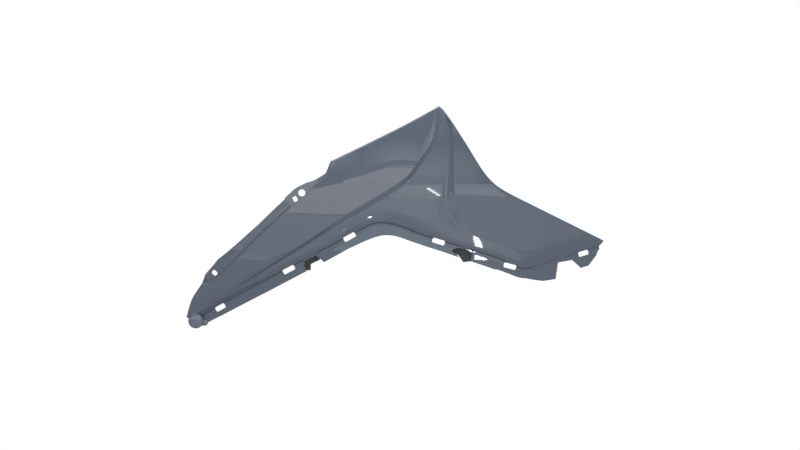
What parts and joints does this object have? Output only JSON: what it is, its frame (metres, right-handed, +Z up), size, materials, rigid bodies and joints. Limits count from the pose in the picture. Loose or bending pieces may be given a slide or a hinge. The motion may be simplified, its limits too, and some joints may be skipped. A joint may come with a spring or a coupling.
{
  "type": "scooter lower side panel",
  "caption": "Glossy moulded plastic lower side panel for a scooter, boomerang-shaped, with creased outer face, turned lips and slotted fixing flanges.",
  "frame": {"origin": "centre of the round hole in the upper front tab, at the tab's outer face", "axes": "+X along the panel towards the rear tip, +Z up as fitted, -Y out of the painted face"},
  "size_m": [0.6287, 0.0628, 0.3337],
  "materials": {
    "paint": "slate grey-blue gloss paint on moulded plastic"
  },
  "bodies": {
    "root": {"side_panel": "paint"}
  },
  "joints": []
}
